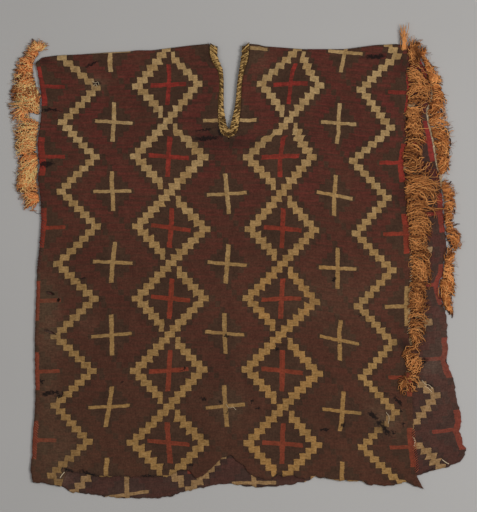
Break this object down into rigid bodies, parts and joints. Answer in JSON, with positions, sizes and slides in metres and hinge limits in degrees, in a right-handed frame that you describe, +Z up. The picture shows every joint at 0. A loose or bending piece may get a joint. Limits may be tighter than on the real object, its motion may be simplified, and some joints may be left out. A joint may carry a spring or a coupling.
{
  "type": "tunic",
  "caption": "Sleeveless tapestry tunic laid flat, folded at the shoulders, with a neck slit bound in plaited cord, looped fringes at the armholes and a worn hem.",
  "frame": {"origin": "middle of the footprint, on the surface that the tunic lies on", "axes": "+X across the cloth towards the open side seam, +Y up the cloth towards the shoulder fold, +Z up from the surface towards the front of the tunic"},
  "size_m": [0.7978, 0.8346, 0.0103],
  "materials": {
    "tapestry": "matte",
    "neck_cord": "matte",
    "fringe": "matte"
  },
  "bodies": {
    "root": {"front_panel": "tapestry", "back_panel": "tapestry", "neck_binding_front": "neck_cord", "neck_binding_back": "neck_cord", "fringe_left": "fringe", "fringe_right_front": "fringe", "fringe_right_back": "fringe"}
  },
  "joints": []
}
